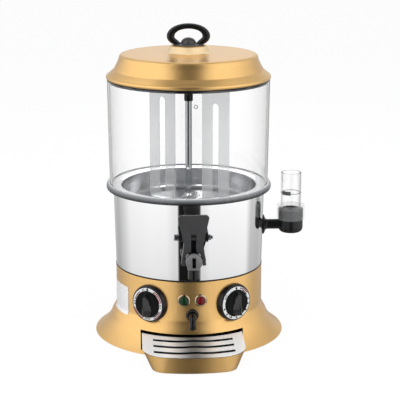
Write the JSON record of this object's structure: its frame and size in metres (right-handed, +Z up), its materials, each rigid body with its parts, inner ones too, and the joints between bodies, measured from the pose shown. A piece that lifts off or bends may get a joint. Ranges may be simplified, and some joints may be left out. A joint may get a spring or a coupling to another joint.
{
  "type": "hot chocolate dispenser machine",
  "caption": "Counter-top hot drink dispenser: clear stirred jar on a heated steel body, spring-closed tap, side filler, rotary controls and a pull-out drip tray.",
  "frame": {"origin": "on the table top, under the middle of the machine as seen from above, filler and tray included", "axes": "+Z up, tap and drip tray towards -Y, filler towards +X"},
  "size_m": [0.3166, 0.3472, 0.4641],
  "materials": {
    "gold_paint": "satin metallic paint",
    "polished_steel": "mirror polished",
    "plain_steel": "plain rolled or drawn",
    "clear_plastic": "clear",
    "milky_plastic": "translucent white",
    "black_plastic": "satin black",
    "grey_plastic": "satin grey",
    "rubber": "matte",
    "silicone": "matte",
    "bronze": "sintered",
    "dial_foil": "satin",
    "green_lens": "clear green",
    "red_lens": "clear red"
  },
  "bodies": {
    "machine": {"base_housing": "gold_paint", "outer_shell": "polished_steel", "product_pan": "polished_steel", "mixer_column": "polished_steel", "column_collar": "polished_steel", "lamp_bezel_green": "polished_steel", "lamp_bezel_red": "polished_steel", "bath_tank": "plain_steel", "base_plate": "plain_steel", "gear_motor": "plain_steel", "heating_element": "plain_steel", "outlet_elbow": "plain_steel", "tap_pivot_bolt": "plain_steel", "tap_pivot_nut": "plain_steel", "tap_spring": "plain_steel", "drain_pipe": "plain_steel", "sight_tube": "clear_plastic", "filler_collar": "clear_plastic", "tap_body": "black_plastic", "tap_nozzle": "black_plastic", "filler_elbow": "black_plastic", "filler_nut": "black_plastic", "drain_spout": "black_plastic", "knob_bezel_left": "black_plastic", "knob_bezel_right": "black_plastic", "cord_gland": "black_plastic", "tap_cap": "grey_plastic", "thermostat": "grey_plastic", "regulator": "grey_plastic", "seam_seal": "rubber", "jar_gasket": "rubber", "drain_grommet": "rubber", "rubber_foot_1": "rubber", "rubber_foot_2": "rubber", "rubber_foot_3": "rubber", "rubber_foot_4": "rubber", "tap_washer": "silicone", "shaft_bush": "bronze", "dial_left": "dial_foil", "dial_right": "dial_foil", "lamp_lens_green": "green_lens", "lamp_lens_red": "red_lens"},
    "jar_wall": {"jar": "clear_plastic"},
    "lid": {"lid_shell": "gold_paint", "lid_seal": "rubber", "lid_handle": "black_plastic", "lid_handle_hub": "grey_plastic", "lid_handle_screw": "plain_steel"},
    "stirrer": {"mixer_paddle": "milky_plastic", "mixer_cap": "black_plastic", "drive_shaft": "plain_steel"},
    "lever": {"tap_lever": "black_plastic"},
    "valve": {"tap_plunger": "plain_steel", "tap_plug": "silicone"},
    "left_control": {"knob_left": "black_plastic", "spindle_left": "plain_steel"},
    "right_control": {"knob_right": "black_plastic", "spindle_right": "plain_steel"},
    "tray": {"drip_tray": "gold_paint"},
    "grate": {"drip_grate": "polished_steel"}
  },
  "joints": [
    {"name": "jar_lift", "type": "slide", "parent": "machine", "child": "jar_wall", "axis": [0, 0, 1], "range_m": [0, 0.18]},
    {"name": "lid_lift", "type": "slide", "parent": "jar_wall", "child": "lid", "axis": [0, 0, 1], "range_m": [0, 0.16]},
    {"name": "stirrer_spin", "type": "hinge", "parent": "machine", "child": "stirrer", "pos_m": [-0.01646, 0.03185, 0.365], "axis": [0, 0, 1], "continuous": true},
    {"name": "tap_lever_pivot", "type": "hinge", "parent": "machine", "child": "lever", "pos_m": [-0.01646, -0.11385, 0.1815], "axis": [1, 0, 0], "range_deg": [0, 16], "stiffness_Nm_per_rad": 0.5, "springref_deg": -5.73},
    {"name": "tap_valve_slide", "type": "slide", "parent": "machine", "child": "valve", "axis": [0, 1, 0], "range_m": [0, 0.00873], "deforming": ["tap_spring"]},
    {"name": "left_knob_turn", "type": "hinge", "parent": "machine", "child": "left_control", "pos_m": [-0.07993, -0.06405, 0.0685], "axis": [0.5519, 0.8339, 0], "range_deg": [0, 270]},
    {"name": "right_knob_turn", "type": "hinge", "parent": "machine", "child": "right_control", "pos_m": [0.04702, -0.06405, 0.0685], "axis": [-0.5519, 0.8339, 0], "range_deg": [0, 300]},
    {"name": "tray_slide", "type": "slide", "parent": "machine", "child": "tray", "axis": [0, -1, 0], "range_m": [0, 0.12]},
    {"name": "grate_lift", "type": "slide", "parent": "tray", "child": "grate", "axis": [0, 0, 1], "range_m": [0, 0.01]}
  ],
  "couplings": [
    {"joint": "tap_valve_slide", "follows": "tap_lever_pivot", "m_per_rad": 0.031203}
  ]
}
